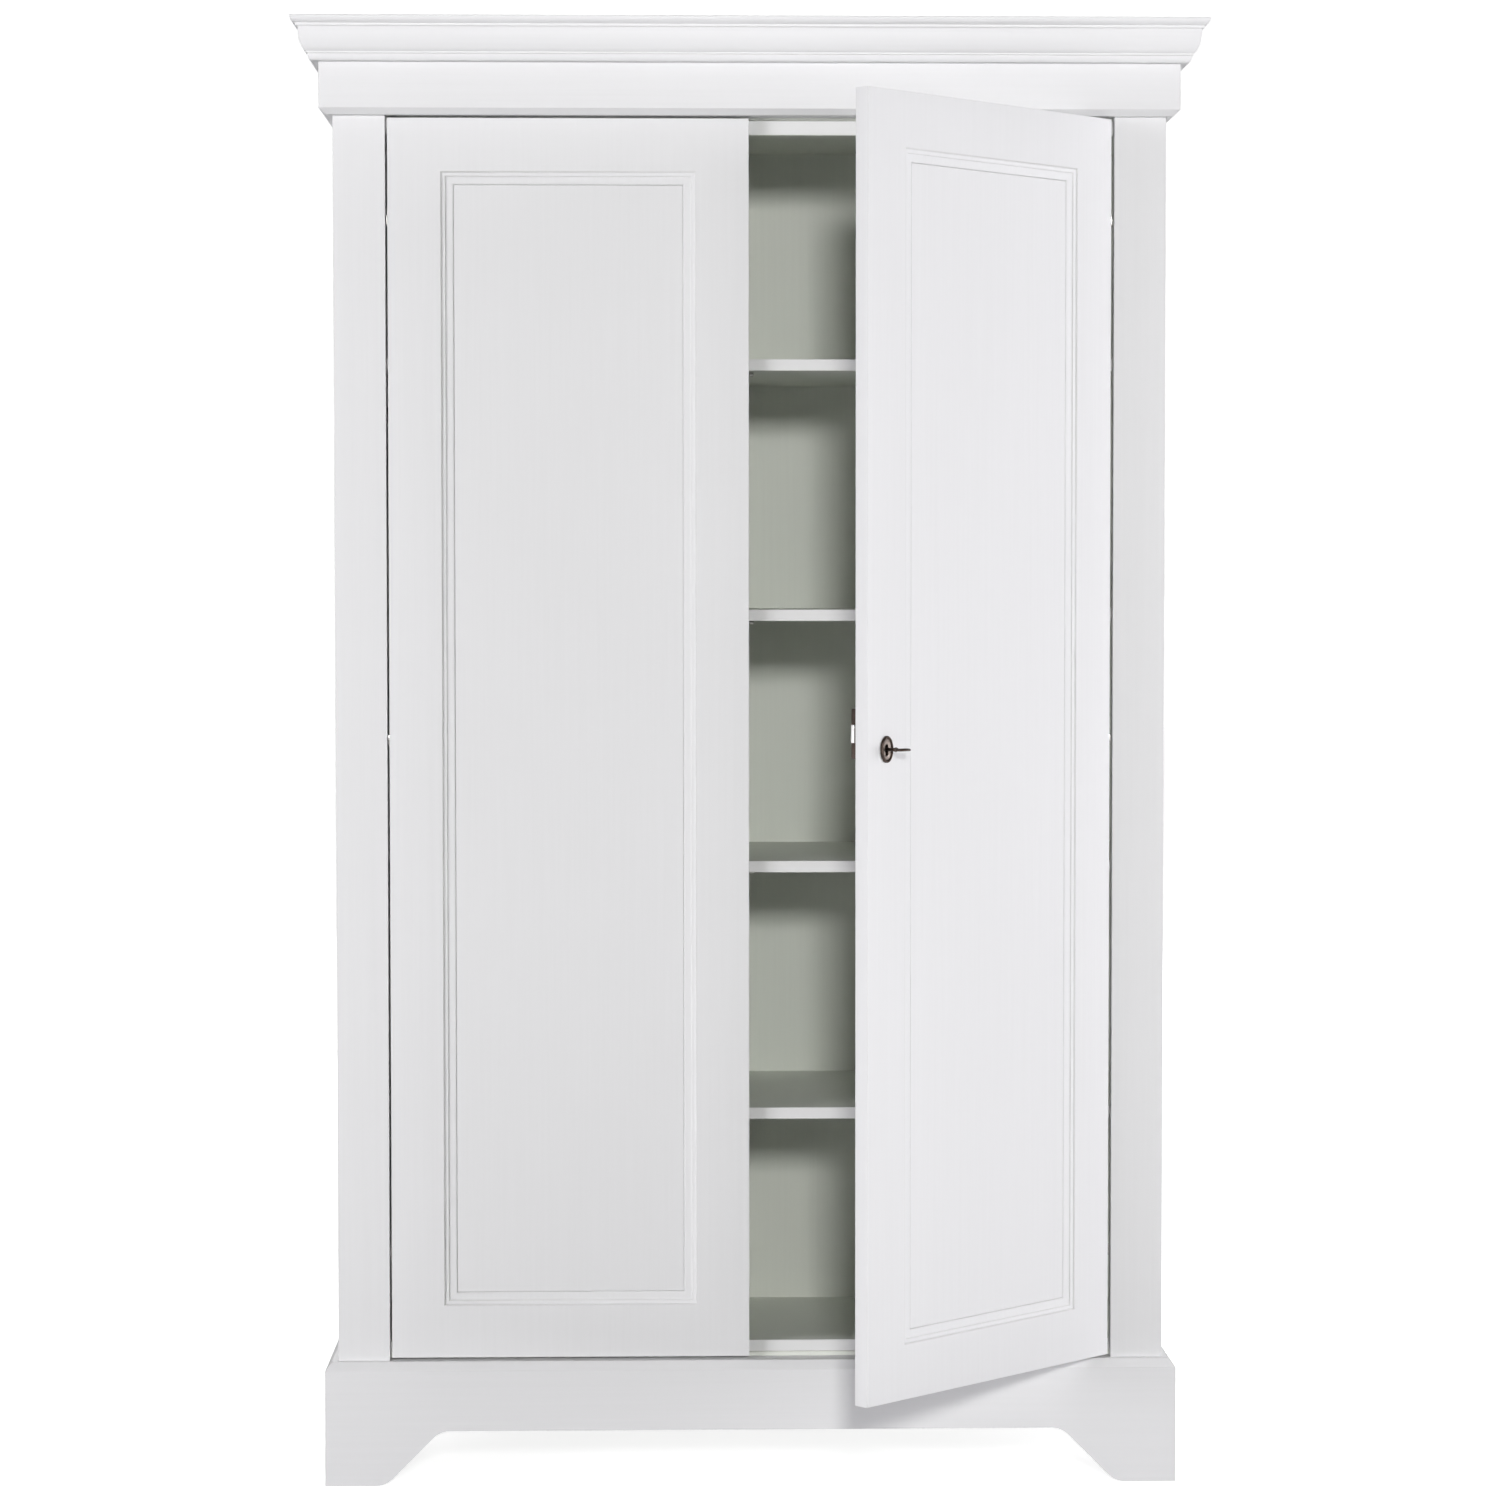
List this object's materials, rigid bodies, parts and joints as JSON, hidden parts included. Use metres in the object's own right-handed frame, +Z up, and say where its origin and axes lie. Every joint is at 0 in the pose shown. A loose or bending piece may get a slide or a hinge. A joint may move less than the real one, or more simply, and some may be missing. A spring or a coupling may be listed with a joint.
{
  "type": "armoire",
  "caption": "White painted two-door armoire: ogee crown, arched plinth, framed doors on concealed hinges, rim lock with key, shelved bay and hanging bay.",
  "frame": {"origin": "on the floor, at the middle of the back plinth board's underside, 9 mm in front of the carcass's rear edge", "axes": "+X to the right seen from the front, +Y towards the wall behind, +Z up"},
  "size_m": [1.2534, 0.804, 2.02],
  "materials": {
    "white_paint": "satin white paint over wood",
    "inside_paint": "eggshell off-white paint, faintly sage",
    "plated_steel": "nickel plated steel",
    "lock_metal": "dark bronze-brown lacquered steel",
    "aged_bronze": "dark antiqued bronze, rubbed lighter on raised faces",
    "rail_chrome": "polished chrome tube"
  },
  "bodies": {
    "carcass": {"side_panel_left": "inside_paint", "side_panel_right": "inside_paint", "stile_left": "white_paint", "stile_right": "white_paint", "back_panel_left": "inside_paint", "back_panel_right": "inside_paint", "top_rail": "white_paint", "bottom_rail": "white_paint", "top_panel": "inside_paint", "bottom_panel": "inside_paint", "cap_board": "white_paint", "door_stop_bottom": "inside_paint", "door_stop_top": "inside_paint", "centre_partition": "inside_paint", "shelf_1": "inside_paint", "shelf_2": "inside_paint", "shelf_3": "inside_paint", "shelf_4": "inside_paint", "hat_shelf": "inside_paint", "hanging_rail": "rail_chrome", "frieze_front": "white_paint", "frieze_left": "white_paint", "frieze_right": "white_paint", "crown_front": "white_paint", "crown_left": "white_paint", "crown_right": "white_paint", "plinth_front": "white_paint", "plinth_left": "white_paint", "plinth_right": "white_paint", "plinth_back": "inside_paint", "floor_bearer": "inside_paint", "left_hinge_arm_bottom": "plated_steel", "left_hinge_arm_middle": "plated_steel", "left_hinge_arm_top": "plated_steel", "right_hinge_arm_bottom": "plated_steel", "right_hinge_arm_middle": "plated_steel", "right_hinge_arm_top": "plated_steel"},
    "left_door": {"left_door_hinge_stile": "white_paint", "left_door_meeting_stile": "white_paint", "left_door_top_rail": "white_paint", "left_door_bottom_rail": "white_paint", "left_door_moulding": "white_paint", "left_door_panel": "white_paint", "left_hinge_cup_bottom": "plated_steel", "left_hinge_cup_middle": "plated_steel", "left_hinge_cup_top": "plated_steel", "lock_keeper": "lock_metal"},
    "right_door": {"right_door_hinge_stile": "white_paint", "right_door_meeting_stile": "white_paint", "right_door_top_rail": "white_paint", "right_door_bottom_rail": "white_paint", "right_door_moulding": "white_paint", "right_door_panel": "white_paint", "right_hinge_cup_bottom": "plated_steel", "right_hinge_cup_middle": "plated_steel", "right_hinge_cup_top": "plated_steel", "lock_case": "lock_metal", "escutcheon": "aged_bronze"},
    "lock_bolt": {"lock_bolt": "plated_steel"},
    "key": {"key": "aged_bronze"}
  },
  "joints": [
    {"name": "left_door_hinge", "type": "hinge", "parent": "carcass", "child": "left_door", "pos_m": [-0.4984, -0.44255, 1.03], "axis": [0, 0, -1], "range_deg": [0, 105]},
    {"name": "right_door_hinge", "type": "hinge", "parent": "carcass", "child": "right_door", "pos_m": [0.4984, -0.44255, 1.03], "axis": [0, 0, 1], "range_deg": [-44.3, 60.7]},
    {"name": "key_turn", "type": "hinge", "parent": "right_door", "child": "key", "pos_m": [0.16744, -0.76335, 1.0334], "axis": [0.6984, -0.7157, 0], "range_deg": [-91, 271]},
    {"name": "bolt_slide", "type": "slide", "parent": "right_door", "child": "lock_bolt", "axis": [-0.7157, -0.6984, 0], "range_m": [-0.0035, 0.0105]}
  ],
  "couplings": [
    {"joint": "key_turn", "follows": "bolt_slide", "rad_per_m": 448.8}
  ]
}
